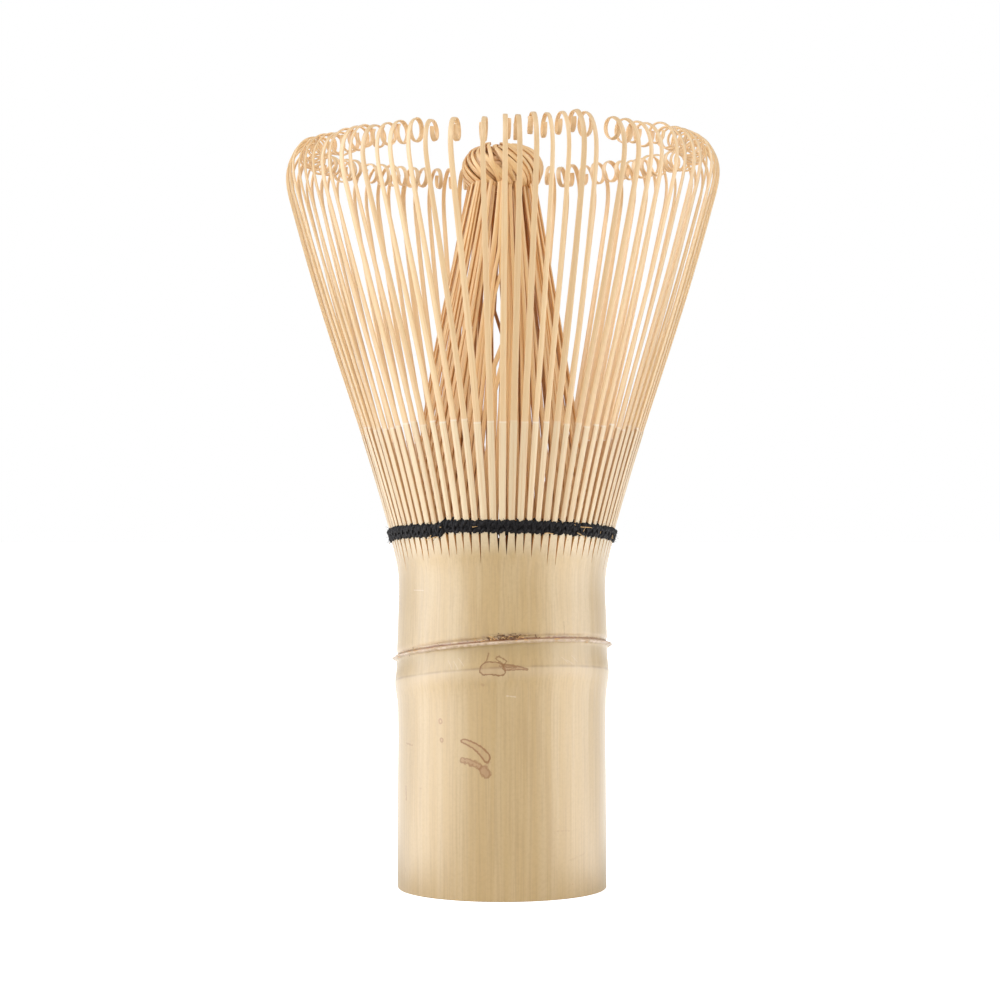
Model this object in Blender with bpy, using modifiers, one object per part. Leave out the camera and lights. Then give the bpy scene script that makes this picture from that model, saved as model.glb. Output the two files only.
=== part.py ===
"""Bamboo tea whisk, one culm split into outer and inner tines and bound with thread.

Frame: metres, +Z up, origin at the centre of the culm's cut end, front at -Y.
The culm is one length of bamboo. Its upper end is split into 16 staves, and each stave into a
comb of thick outer tines and a comb of thin inner tines. Each comb starts at the binding
thread. The outer combs bend there, so each has its origin on its own bending axis.
"""

import math

import bmesh
import bpy
from mathutils import Matrix, Vector

MM = 0.001
GAP = 0.3 * MM                      # left between pieces that touch

# ---- culm (the handle) ----
CULM_R = 14.6 * MM                  # outside, at the cut end
CULM_WALL = 4.4 * MM
NODE_Z = 31.0 * MM                  # height of the bamboo node
NODE_SWELL = 0.45 * MM              # how far the two node ridges stand out
NODE_RIDGE_APART = 4.2 * MM
SEPTUM_T = 2.4 * MM                 # the wall across the culm inside the node
WAIST_R = 14.4 * MM                 # narrowest place, above the node
WAIST_Z = 41.5 * MM
CULM_TOP_Z = 48.9 * MM
CULM_TOP_R = 15.15 * MM
CUP_WALL = 3.5 * MM                 # wall at the top of the culm
SLOT_START_Z = 45.6 * MM            # where the splits start
SLOT_WIDTH = 0.25 * MM

# ---- how the bamboo is split ----
COMBS = 16
TINES_PER_COMB = 5
CULM_FACETS = COMBS * TINES_PER_COMB // 2

# ---- outer tines ----
OUTER_T = 0.55 * MM                 # radial thickness
OUTER_W = 0.85 * MM                 # width along the ring
OUTER_LEAN = math.radians(18.2)     # outward slope of the straight run
OUTER_RUN = 49.9 * MM               # length of the straight run
TIP_LOOP_R = 1.4 * MM               # bend radius that the curled tip settles to
TIP_OPENING_R = 10.9 * MM           # how much wider the bend is where the curl starts
TIP_OPENING_TURN = math.radians(33) # turn over which the bend tightens
TIP_TURN = math.radians(350)        # turn of the whole curl
TIP_STEPS = 9

# ---- inner tines ----
INNER_T = 0.45 * MM
INNER_W = 0.55 * MM
INNER_TOP_W = 0.26 * MM
INNER_TOP_R = 4.7 * MM
INNER_TOP_Z = 96.6 * MM

# ---- knot of inner tine ends ----
KNOT_R = 5.7 * MM
KNOT_H = 7.0 * MM

# ---- comb roots ----
ROOT_Z = CULM_TOP_Z + GAP
ROOT_H = 0.9 * MM
OUTER_ROOT_T = 1.7 * MM             # thickness of an outer comb where it leaves the culm

# ---- binding thread ----
THREAD_R = 0.38 * MM
THREAD_CLEARANCE = 0.45 * MM        # room for the combs to bend outward
THREAD_TURNS = 2
THREAD_PITCH = 0.9 * MM
THREAD_STEPS = 36                   # points in each turn

COMB_ANGLE = 2 * math.pi / COMBS
TINE_ANGLE = COMB_ANGLE / TINES_PER_COMB
ROOT_TOP_Z = ROOT_Z + ROOT_H
BEND_Z = ROOT_Z + ROOT_H / 2
ROOT_SPLIT = CULM_TOP_R - OUTER_ROOT_T
BEND_R = CULM_TOP_R - OUTER_ROOT_T / 2
INNER_ROOT_R = CULM_TOP_R - CUP_WALL + GAP
KNOT_Z = INNER_TOP_Z + GAP
FRONT = -math.pi / 2


def clear_scene():
    for obj in list(bpy.data.objects):
        bpy.data.objects.remove(obj)


def new_collection(name):
    collection = bpy.data.collections.new(name)
    bpy.context.scene.collection.children.link(collection)
    return collection


def material(name, colour, roughness):
    """A plain bamboo or thread finish, colour as linear red, green and blue."""
    made = bpy.data.materials.new(name)
    made.use_nodes = True
    shader = made.node_tree.nodes["Principled BSDF"]
    shader.inputs["Base Color"].default_value = (*colour, 1.0)
    shader.inputs["Roughness"].default_value = roughness
    shader.inputs["Metallic"].default_value = 0.0
    return made


def add(name, data, collection, finish=None):
    obj = bpy.data.objects.new(name, data)
    collection.objects.link(obj)
    if finish:
        data.materials.clear()
        data.materials.append(finish)
    return obj


def as_cutter(obj):
    obj.hide_render = True
    obj.display_type = "WIRE"
    return obj


def smooth(mesh, angle=math.radians(35)):
    mesh.shade_smooth()
    mesh.set_sharp_from_angle(angle=angle)


def turned(name, profile, segments, collection, finish):
    """A piece turned about the Z axis from a profile of (radius, height) points."""
    mesh = bpy.data.meshes.new(name)
    build = bmesh.new()
    points = [build.verts.new((r, 0.0, z)) for r, z in profile]
    for first, second in zip(points, points[1:]):
        build.edges.new((first, second))
    build.to_mesh(mesh)
    build.free()
    obj = add(name, mesh, collection, finish)
    screw = obj.modifiers.new("turn", "SCREW")
    screw.steps = segments
    screw.render_steps = segments
    screw.use_merge_vertices = True
    screw.merge_threshold = 0.00001
    screw.use_normal_calculate = False
    return obj


def evaluated_mesh(obj, name):
    """The object's shape with its modifiers, as a closed mesh of its own."""
    bpy.context.view_layer.update()
    graph = bpy.context.evaluated_depsgraph_get()
    mesh = bpy.data.meshes.new_from_object(obj.evaluated_get(graph))
    mesh.name = name
    mesh.transform(obj.matrix_world)
    build = bmesh.new()
    build.from_mesh(mesh)
    bmesh.ops.remove_doubles(build, verts=build.verts, dist=0.000001)
    build.to_mesh(mesh)
    build.free()
    return mesh


def boolean(obj, other, operation):
    step = obj.modifiers.new(other.name, "BOOLEAN")
    step.operation = operation
    step.solver = "EXACT"
    step.object = other
    return step


def flat_outline(name, points, thickness, collection):
    """A flat outline in the XY plane, given thickness to both sides, as a mesh object."""
    curve = bpy.data.curves.new(name, "CURVE")
    curve.dimensions = "2D"
    curve.fill_mode = "BOTH"
    curve.extrude = thickness / 2
    spline = curve.splines.new("POLY")
    spline.points.add(len(points) - 1)
    for place, (x, y) in zip(spline.points, points):
        place.co = (x, y, 0.0, 1.0)
    spline.use_cyclic_u = True
    drawn = bpy.data.objects.new(name + "_outline", curve)
    collection.objects.link(drawn)
    mesh = evaluated_mesh(drawn, name)
    bpy.data.objects.remove(drawn)
    return add(name, mesh, collection)


def culm_profile():
    """The culm's wall from the septum's top, up the cup, down the outside, up the bore."""
    cup_r = CULM_TOP_R - CUP_WALL
    bore_r = CULM_R - CULM_WALL
    septum_top = NODE_Z + SEPTUM_T / 2
    septum_bottom = NODE_Z - SEPTUM_T / 2
    lower_ridge = NODE_Z - NODE_RIDGE_APART / 2
    upper_ridge = NODE_Z + NODE_RIDGE_APART / 2
    ridge_half = 1.4 * MM
    dished = 1.2 * MM
    return [
        (0.0, septum_top),
        (cup_r - 1.6 * MM, septum_top),
        (cup_r, septum_top + dished),
        (cup_r, CULM_TOP_Z),
        (CULM_TOP_R, CULM_TOP_Z),
        (CULM_TOP_R, CULM_TOP_Z - 1.6 * MM),
        (0.55 * CULM_TOP_R + 0.45 * WAIST_R, SLOT_START_Z),
        (WAIST_R, WAIST_Z),
        (CULM_R, upper_ridge + ridge_half + 0.6 * MM),
        (CULM_R + NODE_SWELL, upper_ridge),
        (CULM_R + 0.55 * NODE_SWELL, NODE_Z),
        (CULM_R + NODE_SWELL, lower_ridge),
        (CULM_R, lower_ridge - ridge_half),
        (CULM_R - 0.1 * MM, NODE_Z / 2),
        (CULM_R, 0.0),
        (bore_r, 0.0),
        (bore_r, septum_bottom - dished),
        (bore_r - 1.6 * MM, septum_bottom),
        (0.0, septum_bottom),
    ]


def make_culm(parts, cutters, finish):
    culm = turned("culm_handle", culm_profile(), CULM_FACETS, parts, finish)
    mesh = bpy.data.meshes.new("split_blades")
    build = bmesh.new()
    reach_in = CULM_TOP_R - CUP_WALL - 1.0 * MM
    reach_out = CULM_TOP_R + 1.0 * MM
    height = CULM_TOP_Z + 1.0 * MM - SLOT_START_Z
    size = Vector((reach_out - reach_in, SLOT_WIDTH, height))
    place = Vector(((reach_out + reach_in) / 2, 0.0, SLOT_START_Z + height / 2))
    for index in range(COMBS * TINES_PER_COMB):
        turn = Matrix.Rotation(FRONT + (index + 0.5) * TINE_ANGLE, 4, "Z")
        at = turn @ Matrix.Translation(place) @ Matrix.Diagonal((*size, 1.0))
        bmesh.ops.create_cube(build, size=1.0, matrix=at)
    build.to_mesh(mesh)
    build.free()
    blades = as_cutter(add("split_blades", mesh, cutters))
    boolean(culm, blades, "DIFFERENCE")
    return culm


def tine_line():
    """Middle line of an outer tine as (radius, height) points: straight, then curled inward."""
    heading = OUTER_LEAN
    radius = CULM_TOP_R - OUTER_T / 2
    height = ROOT_TOP_Z - OUTER_T
    points = [(radius, height)]
    radius += OUTER_RUN * math.sin(heading)
    height += OUTER_RUN * math.cos(heading)
    points.append((radius, height))
    turn = TIP_TURN / TIP_STEPS
    for step in range(TIP_STEPS):
        turned_so_far = (step + 0.5) * turn
        opening = TIP_OPENING_R * math.exp(-turned_so_far / TIP_OPENING_TURN)
        length = 2 * (TIP_LOOP_R + opening) * math.sin(turn / 2)
        radius += length * math.sin(heading - turn / 2)
        height += length * math.cos(heading - turn / 2)
        heading -= turn
        points.append((radius, height))
    return points


def thickened(line, thickness):
    """Closed outline at half the thickness to both sides of a line of points."""
    left, right = [], []
    for index, (x, y) in enumerate(line):
        before = Vector(line[max(index - 1, 0)])
        after = Vector(line[min(index + 1, len(line) - 1)])
        along = (after - before).normalized()
        side = Vector((-along.y, along.x)) * thickness / 2
        left.append((x + side.x, y + side.y))
        right.append((x - side.x, y - side.y))
    return left + right[::-1]


def root_block(name, inner_r, outer_r, cutters):
    """The short arc of culm wall that holds one comb's tines together."""
    half = COMB_ANGLE / 2 - GAP / 2 / inner_r
    steps = 4
    angles = [-half + 2 * half * step / steps for step in range(steps + 1)]
    outside = [(outer_r * math.cos(a), outer_r * math.sin(a)) for a in angles]
    inside = [(inner_r * math.cos(a), inner_r * math.sin(a)) for a in reversed(angles)]
    block = flat_outline(name, outside + inside, ROOT_H, cutters)
    block.data.transform(Matrix.Translation((0.0, 0.0, ROOT_Z + ROOT_H / 2)))
    return as_cutter(block)


def comb_mesh(name, block, tine, cutters):
    """One comb: copies of a tine, side by side about the culm's axis, joined to the block."""
    middle = (TINES_PER_COMB - 1) / 2
    for index in range(TINES_PER_COMB):
        copy = add(f"{name}_{index}", tine.data.copy(), cutters)
        copy.data.transform(Matrix.Rotation((index - middle) * TINE_ANGLE, 4, "Z"))
        boolean(block, as_cutter(copy), "UNION")
    return evaluated_mesh(block, name)


def make_outer_combs(parts, cutters, finish):
    block = root_block("outer_root", ROOT_SPLIT + GAP / 2, CULM_TOP_R, cutters)
    outline = thickened(tine_line(), OUTER_T)
    tine = as_cutter(flat_outline("outer_tine", outline, OUTER_W, cutters))
    tine.data.transform(Matrix.Rotation(math.pi / 2, 4, "X"))
    mesh = comb_mesh("outer_comb", block, tine, cutters)
    mesh.transform(Matrix.Translation((-BEND_R, 0.0, -BEND_Z)))
    smooth(mesh)
    combs = []
    for index in range(COMBS):
        comb = add(f"outer_tines_{index + 1:02d}", mesh, parts, finish)
        angle = FRONT + index * COMB_ANGLE
        comb.location = (BEND_R * math.cos(angle), BEND_R * math.sin(angle), BEND_Z)
        comb.rotation_euler = (0.0, 0.0, angle)
        combs.append(comb)
    return combs


def make_inner_combs(parts, cutters, finish):
    block = root_block("inner_root", INNER_ROOT_R, ROOT_SPLIT - GAP / 2, cutters)
    start = Vector((ROOT_SPLIT - GAP / 2 - INNER_T / 2, 0.0, ROOT_TOP_Z - INNER_T))
    end = Vector((INNER_TOP_R, 0.0, INNER_TOP_Z))
    along = end - start
    mesh = bpy.data.meshes.new("inner_tine")
    build = bmesh.new()
    corner = math.sqrt(0.5)
    bmesh.ops.create_cone(
        build,
        cap_ends=True,
        segments=4,
        radius1=INNER_W * corner,
        radius2=INNER_TOP_W * corner,
        depth=along.length,
        matrix=Matrix.Rotation(math.pi / 4, 4, "Z"),
    )
    build.to_mesh(mesh)
    build.free()
    lean = along.to_track_quat("Z", "Y").to_matrix().to_4x4()
    mesh.transform(Matrix.Translation((start + end) / 2) @ lean)
    tine = as_cutter(add("inner_tine", mesh, cutters))
    comb = comb_mesh("inner_comb", block, tine, cutters)
    combs = []
    for index in range(COMBS):
        copy = add(f"inner_tines_{index + 1:02d}", comb, parts, finish)
        copy.rotation_euler = (0.0, 0.0, FRONT + index * COMB_ANGLE)
        combs.append(copy)
    return combs


def make_thread(parts, finish):
    """Two turns of one thread round the roots of the outer combs."""
    coil_r = CULM_TOP_R + THREAD_CLEARANCE + THREAD_R
    middle_z = ROOT_Z
    curve = bpy.data.curves.new("binding_thread", "CURVE")
    curve.dimensions = "3D"
    curve.bevel_depth = THREAD_R
    curve.bevel_resolution = 2
    curve.use_fill_caps = True
    spline = curve.splines.new("POLY")
    steps = THREAD_STEPS * THREAD_TURNS
    spline.points.add(steps)
    for index, place in enumerate(spline.points):
        turns = index / THREAD_STEPS
        angle = FRONT + 2 * math.pi * turns
        rise = (turns - THREAD_TURNS / 2) * THREAD_PITCH
        place.co = (coil_r * math.cos(angle), coil_r * math.sin(angle), middle_z + rise, 1.0)
    return add("binding_thread", curve, parts, finish)


def make_knot(parts, finish):
    """The ball that the inner tines' ends are wound into."""
    base_r = INNER_TOP_R + INNER_T
    profile = [(0.0, KNOT_Z + KNOT_H)]
    arcs = 6
    for step in range(1, arcs):
        angle = math.pi / 2 * (1 - 1.45 * step / (arcs - 1))
        middle = KNOT_Z + 0.52 * KNOT_H
        profile.append((KNOT_R * math.cos(angle), middle + 0.48 * KNOT_H * math.sin(angle)))
    profile.append((base_r, KNOT_Z))
    profile.append((0.0, KNOT_Z))
    return turned("centre_knot", profile, 24, parts, finish)


def main():
    clear_scene()
    parts = new_collection("bamboo_tea_whisk")
    cutters = new_collection("cutters")
    skin = material("bamboo_skin", (0.72, 0.55, 0.33), 0.35)
    outer_strip = material("bamboo_outer_tine", (0.80, 0.60, 0.34), 0.45)
    inner_strip = material("bamboo_inner_tine", (0.68, 0.42, 0.19), 0.55)
    thread = material("black_thread", (0.012, 0.012, 0.014), 0.8)
    make_culm(parts, cutters, skin)
    make_outer_combs(parts, cutters, outer_strip)
    make_inner_combs(parts, cutters, inner_strip)
    make_thread(parts, thread)
    make_knot(parts, inner_strip)


main()
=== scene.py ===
# %% [markdown]
# # A bamboo tea whisk
# The whisk is one length of bamboo, hollow, with one node. A maker splits its upper end into
# eighty thick outer tines and eighty thin inner ones, curls the outer tips over heat, winds the
# inner tips into a ball, and ties the two rings apart with black thread. This lesson models each
# of these around a fixed frame, which says where every body of the whisk is.

# %% Load the frame
import math
import random

import bpy
import numpy as np
from mathutils import Matrix, Vector, noise


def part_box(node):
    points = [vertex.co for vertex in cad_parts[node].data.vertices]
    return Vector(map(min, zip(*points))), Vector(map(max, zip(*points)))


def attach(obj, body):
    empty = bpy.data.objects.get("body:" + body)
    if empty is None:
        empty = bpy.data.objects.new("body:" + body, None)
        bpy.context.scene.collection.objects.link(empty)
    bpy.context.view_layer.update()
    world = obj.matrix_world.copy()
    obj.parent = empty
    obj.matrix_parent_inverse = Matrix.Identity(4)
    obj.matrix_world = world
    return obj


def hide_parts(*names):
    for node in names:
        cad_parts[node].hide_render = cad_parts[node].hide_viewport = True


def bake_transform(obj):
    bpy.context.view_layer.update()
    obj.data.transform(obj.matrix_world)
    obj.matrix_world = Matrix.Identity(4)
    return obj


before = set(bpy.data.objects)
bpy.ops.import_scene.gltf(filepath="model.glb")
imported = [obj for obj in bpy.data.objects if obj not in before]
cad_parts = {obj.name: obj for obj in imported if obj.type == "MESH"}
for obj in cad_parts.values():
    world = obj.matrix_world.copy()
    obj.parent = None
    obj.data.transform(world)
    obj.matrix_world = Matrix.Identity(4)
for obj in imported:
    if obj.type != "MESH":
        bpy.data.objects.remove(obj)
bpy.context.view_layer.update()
MM = 0.001
FRONT = -math.pi / 2
UP = Vector((0.0, 0.0, 1.0))

# %% [markdown]
# ## The sizes that everything shares
# The frame gives the places: the top of the culm, the ring of tine tips and the knot. The
# maker's own measures, such as how wide a tine is, are named beside the piece they belong to.
# Bamboo is never square: the node, the splits and the thread all climb towards the front of
# this culm, so one helper says how far a ring is lifted at each azimuth.

# %% Shared sizes
CULM_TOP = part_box("culm_handle")[1]
CULM_R = 14.6 * MM
TINE_TOP_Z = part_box("outer_tines_01")[1].z
KNOT_LOW, KNOT_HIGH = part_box("centre_knot")
COMBS = 16
TINES_PER_COMB = 5
TINES = COMBS * TINES_PER_COMB
COMB_ANGLE = 2 * math.pi / COMBS
TINE_ANGLE = COMB_ANGLE / TINES_PER_COMB


def from_front(azimuth):
    """Angle from the front of the whisk, positive to the right, between -pi and pi."""
    return (azimuth - FRONT + math.pi) % (2 * math.pi) - math.pi


def lift(azimuth, front, right=0.0):
    """Height that a ring gains at this azimuth when it climbs to the front and the right."""
    turn = from_front(azimuth)
    return front * math.cos(turn) + right * math.sin(turn)


def outward_at(azimuth):
    """The level direction away from the axis."""
    return Vector((math.cos(azimuth), math.sin(azimuth), 0.0))


def along_ring(out, rise=0.0):
    """The direction round the whisk from an outward one, climbing by rise."""
    return Vector((-out.y, out.x, rise))


def ring_point(radius, azimuth, z):
    return Vector((radius * math.cos(azimuth), radius * math.sin(azimuth), z))


def bump(x, middle, width):
    """A smooth swelling of height 1 about the middle."""
    return math.exp(-((x - middle) / width) ** 2)


def smooth_step(x, low, high):
    t = min(max((x - low) / (high - low), 0.0), 1.0)
    return t * t * (3 - 2 * t)


print("culm top", round(CULM_TOP.z / MM, 1), "mm, tine tops", round(TINE_TOP_Z / MM, 1), "mm")

# %% [markdown]
# ## Small habits for modelling with operators
# An operator acts on whatever is selected, so every piece starts from an empty selection. Its
# transform is applied at the end, because a finished piece keeps its place in its mesh.

# %% Modelling helpers
def deselect():
    if bpy.context.object and bpy.context.object.mode != "OBJECT":
        bpy.ops.object.mode_set(mode="OBJECT")
    bpy.ops.object.select_all(action="DESELECT")


def only(obj):
    """Selects this object alone and makes it active."""
    deselect()
    obj.select_set(True)
    bpy.context.view_layer.objects.active = obj
    return obj


def settle(obj):
    """Puts the object's place into its mesh."""
    only(obj)
    bpy.ops.object.transform_apply(location=True, rotation=True, scale=True)
    return obj


def apply_modifiers(obj):
    only(obj)
    for modifier in list(obj.modifiers):
        bpy.ops.object.modifier_apply(modifier=modifier.name)
    return obj


def as_mesh(curve_object):
    only(curve_object)
    bpy.ops.object.convert(target="MESH")
    return bpy.context.object


def joined(objects, name):
    """Joins objects into one, under a new name."""
    deselect()
    for obj in objects:
        obj.select_set(True)
    bpy.context.view_layer.objects.active = objects[0]
    if len(objects) > 1:
        bpy.ops.object.join()
    whole = bpy.context.object
    whole.name = name
    whole.data.name = name
    return whole


def rounded_shading(obj, degrees=40):
    only(obj)
    bpy.ops.object.shade_smooth_by_angle(angle=math.radians(degrees))
    return obj


def finish_piece(obj, material):
    obj.data.materials.clear()
    obj.data.materials.append(material)
    return obj


# %% [markdown]
# ## Node groups shared by the finishes
# Fibre grain shows on every bamboo surface: long fine streaks along the culm. One node group
# draws it from any coordinates, stretched along the third one. A second group lays the culm out
# flat in millimetres, and a third stamps an oval mark on that flat map: filled, or as a ring.

# %% Node helpers
def node(tree, kind, **settings):
    made = tree.nodes.new(kind)
    for name, value in settings.items():
        setattr(made, name, value)
    return made


def connect(tree, *pairs):
    for source, target in pairs:
        tree.links.new(source, target)


def math_node(tree, operation, first, second=None, third=None):
    made = node(tree, "ShaderNodeMath", operation=operation)
    for index, value in enumerate((first, second, third)):
        if value is None:
            continue
        if isinstance(value, (int, float)):
            made.inputs[index].default_value = value
        else:
            tree.links.new(value, made.inputs[index])
    return made.outputs[0]


def times(tree, first, second):
    return math_node(tree, "MULTIPLY", first, second)


def between(tree, value, low, high, to_low=0.0, to_high=1.0):
    """Smoothly maps value from low..high to to_low..to_high."""
    made = node(tree, "ShaderNodeMapRange", interpolation_type="SMOOTHSTEP")
    ends = {"From Min": low, "From Max": high, "To Min": to_low, "To Max": to_high}
    for name, number in ends.items():
        made.inputs[name].default_value = number
    tree.links.new(value, made.inputs["Value"])
    return made.outputs["Result"]


def window(tree, value, rise, fall):
    """A mask with two soft edges: it comes up over rise and goes down over fall."""
    return times(tree, between(tree, value, *rise), between(tree, value, *fall, 1.0, 0.0))


def object_place(tree):
    return node(tree, "ShaderNodeTexCoord").outputs["Object"]


def noise_texture(tree, place, scale, detail=2.0):
    """Cloudy noise between 0 and 1."""
    made = node(tree, "ShaderNodeTexNoise")
    made.inputs["Scale"].default_value = scale
    made.inputs["Detail"].default_value = detail
    connect(tree, (place, made.inputs["Vector"]))
    return made.outputs["Fac"]


def cell_distance(tree, place, scale):
    """Distance to the nearest of many scattered points."""
    made = node(tree, "ShaderNodeTexVoronoi")
    made.inputs["Scale"].default_value = scale
    connect(tree, (place, made.inputs["Vector"]))
    return made.outputs["Distance"]


def tint(tree, mask, below, above, blend_type="MIX"):
    """Mixes from below to above by the mask; each is a colour or a socket."""
    made = node(tree, "ShaderNodeMix", data_type="RGBA", blend_type=blend_type)
    tree.links.new(mask, made.inputs[0])
    for socket, value in ((made.inputs[6], below), (made.inputs[7], above)):
        if isinstance(value, tuple):
            socket.default_value = (*value, 1.0)
        else:
            tree.links.new(value, socket)
    return made.outputs[2]


def new_group(name, inputs, outputs):
    """A shader node group with named sockets: (name, kind, default) in, (name, kind) out."""
    group = bpy.data.node_groups.new(name, "ShaderNodeTree")
    for label, kind, default in inputs:
        socket = group.interface.new_socket(label, in_out="INPUT", socket_type="NodeSocket" + kind)
        if default is not None:
            socket.default_value = default
    for label, kind in outputs:
        group.interface.new_socket(label, in_out="OUTPUT", socket_type="NodeSocket" + kind)
    return group, group.nodes.new("NodeGroupInput"), group.nodes.new("NodeGroupOutput")


def use_group(tree, group, **values):
    made = node(tree, "ShaderNodeGroup", node_tree=group)
    for label, value in values.items():
        socket = made.inputs[label.replace("_", " ")]
        if isinstance(value, bpy.types.NodeSocket):
            tree.links.new(value, socket)
        else:
            socket.default_value = value
    return made


# %% Fibre grain, flat map and stamp groups
def fibre_group():
    group, start, end = new_group(
        "bamboo fibre",
        [("Place", "Vector", None), ("Across", "Float", 6.0), ("Along", "Float", 0.15)],
        [("Fine", "Float"), ("Broad", "Float")],
    )
    scale = node(group, "ShaderNodeCombineXYZ")
    for index, label in enumerate(("Across", "Across", "Along")):
        connect(group, (start.outputs[label], scale.inputs[index]))
    stretched = node(group, "ShaderNodeVectorMath", operation="MULTIPLY")
    connect(
        group,
        (start.outputs["Place"], stretched.inputs[0]),
        (scale.outputs[0], stretched.inputs[1]),
    )
    fine = noise_texture(group, stretched.outputs[0], 1.0, 3.0)
    broad = noise_texture(group, stretched.outputs[0], 0.22)
    connect(group, (fine, end.inputs["Fine"]), (broad, end.inputs["Broad"]))
    return group


def flat_map_group(radius_mm):
    """Azimuth from the front times radius, and height, both in millimetres."""
    group, start, end = new_group(
        "culm laid flat",
        [("Place", "Vector", None)],
        [("Flat", "Vector"), ("Round", "Float"), ("Height", "Float")],
    )
    parts = node(group, "ShaderNodeSeparateXYZ")
    connect(group, (start.outputs["Place"], parts.inputs[0]))
    backward = times(group, parts.outputs[1], -1.0)
    angle = math_node(group, "ARCTAN2", parts.outputs[0], backward)
    around = times(group, angle, radius_mm)
    height = times(group, parts.outputs[2], 1.0 / MM)
    flat = node(group, "ShaderNodeCombineXYZ")
    connect(
        group,
        (around, flat.inputs[0]),
        (height, flat.inputs[1]),
        (flat.outputs[0], end.inputs["Flat"]),
        (around, end.inputs["Round"]),
        (height, end.inputs["Height"]),
    )
    return group


def stamp_group():
    """A bean-shaped mark, from a dot to a long arched one. Ring is its outline, Fill its inside."""
    group, start, end = new_group(
        "bean mark",
        [
            ("Flat", "Vector", None),
            ("Centre", "Vector", None),
            ("Turn", "Float", 0.0),
            ("Half Length", "Float", 0.0),
            ("Radius", "Float", 0.3),
            ("Taper", "Float", 0.0),
            ("Arch", "Float", 0.0),
            ("Line", "Float", 0.15),
            ("Rough", "Float", 0.1),
        ],
        [("Fill", "Float"), ("Ring", "Float")],
    )
    ragged = noise_texture(group, start.outputs["Flat"], 2.6, 4.0)
    from_middle = node(group, "ShaderNodeVectorMath", operation="SUBTRACT")
    turned = node(group, "ShaderNodeVectorRotate", rotation_type="Z_AXIS")
    parts = node(group, "ShaderNodeSeparateXYZ")
    connect(
        group,
        (start.outputs["Flat"], from_middle.inputs[0]),
        (start.outputs["Centre"], from_middle.inputs[1]),
        (from_middle.outputs[0], turned.inputs["Vector"]),
        (start.outputs["Turn"], turned.inputs["Angle"]),
        (turned.outputs[0], parts.inputs[0]),
    )
    along, across = parts.outputs[0], parts.outputs[1]
    from_centre = math_node(group, "ABSOLUTE", along)
    beyond = math_node(group, "SUBTRACT", from_centre, start.outputs["Half Length"])
    beyond = math_node(group, "MAXIMUM", beyond, 0.0)
    arch = times(group, times(group, along, along), start.outputs["Arch"])
    off_spine = math_node(group, "ADD", across, arch)
    squares = math_node(
        group, "ADD", times(group, beyond, beyond), times(group, off_spine, off_spine)
    )
    uneven = times(group, math_node(group, "SUBTRACT", ragged, 0.5), start.outputs["Rough"])
    reach = math_node(group, "ADD", math_node(group, "SQRT", squares), uneven)
    edge = math_node(group, "MULTIPLY_ADD", along, start.outputs["Taper"], start.outputs["Radius"])
    past = math_node(group, "SUBTRACT", reach, edge)
    share = math_node(group, "DIVIDE", math_node(group, "ABSOLUTE", past), start.outputs["Line"])
    connect(
        group,
        (between(group, share, 0.25, 0.75, 1.0, 0.0), end.inputs["Ring"]),
        (between(group, past, -0.06, 0.05, 1.0, 0.0), end.inputs["Fill"]),
    )
    return group


FIBRE = fibre_group()
FLAT_MAP = flat_map_group(CULM_R / MM)
STAMP = stamp_group()
print("node groups:", [group.name for group in bpy.data.node_groups])

# %% [markdown]
# ## The culm's skin
# The skin of a dried culm is satin and warm, with grain along it, a greener band at the node
# that darkens into painted shade under the scar's lip, a dark line under the sheath scar that
# is partly painted shade, painted shade in the crease of the lower ring, a paler top above the
# splits that is partly a painted highlight, a painted highlight below the lower ring, and marks
# from its life in the grove: an outlined stain, a filled one, small rings and specks. Each mark
# is one stamp on the flat map.

# %% Culm materials
# The two rings of the node: middle heights, and climbs to the front and right, in millimetres.
SCAR_Z = 33.1
RIDGE_Z = 29.45
SCAR_LIFT = (2.1, 0.98)
RIDGE_LIFT = (2.1, 0.75)
SEPTUM_Z = (SCAR_Z + RIDGE_Z) / 2 * MM
SPLIT_Z = 45.0 * MM
SPLIT_LIFT = 1.9 * MM


def new_material(name, roughness, **settings):
    made = bpy.data.materials.new(name)
    made.use_nodes = True
    shader = made.node_tree.nodes["Principled BSDF"]
    shader.inputs["Roughness"].default_value = roughness
    for label, value in settings.items():
        shader.inputs[label.replace("_", " ")].default_value = value
    return made, made.node_tree, shader


def ring_height(tree, flat, middle, climb):
    """Height above a ring of the culm that climbs to the front and to the right."""
    turn = math_node(tree, "DIVIDE", flat.outputs["Round"], CULM_R / MM)
    front = times(tree, math_node(tree, "COSINE", turn), climb[0])
    right = times(tree, math_node(tree, "SINE", turn), climb[1])
    ring = math_node(tree, "ADD", math_node(tree, "ADD", front, right), middle)
    return math_node(tree, "SUBTRACT", flat.outputs["Height"], ring)


def add_relief(tree, shader, height, strength, distance):
    relief = node(tree, "ShaderNodeBump")
    relief.inputs["Strength"].default_value = strength
    relief.inputs["Distance"].default_value = distance
    connect(tree, (height, relief.inputs["Height"]), (relief.outputs[0], shader.inputs["Normal"]))


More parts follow.
